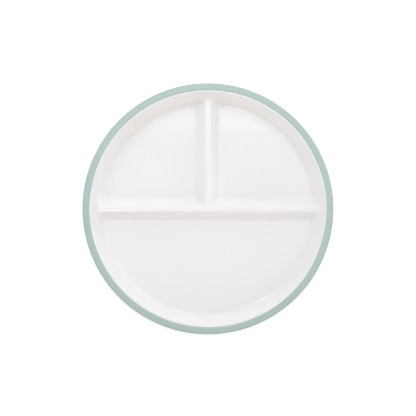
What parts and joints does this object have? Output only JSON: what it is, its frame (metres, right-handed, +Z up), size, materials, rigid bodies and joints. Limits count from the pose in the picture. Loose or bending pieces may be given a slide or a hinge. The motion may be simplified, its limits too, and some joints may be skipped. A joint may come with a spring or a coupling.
{
  "type": "divided plate",
  "caption": "Round, flat-bottomed plate with raised T-shaped dividers between its compartments and a soft rim for small hands.",
  "frame": {"origin": "on the table under the plate's centre, where the two dividers' middle lines cross", "axes": "+Z up out of the plate, +X along the long divider to the right, +Y along the short divider, towards the small compartments"},
  "size_m": [0.22, 0.22, 0.028],
  "materials": {
    "white_plastic": "polished white moulded plastic",
    "mint_rubber": "matte pale mint soft-touch rubber"
  },
  "bodies": {
    "root": {"plate_shell": "white_plastic", "rim_grip": "mint_rubber", "pad_lower": "mint_rubber", "pad_upper_left": "mint_rubber", "pad_upper_right": "mint_rubber"}
  },
  "joints": []
}
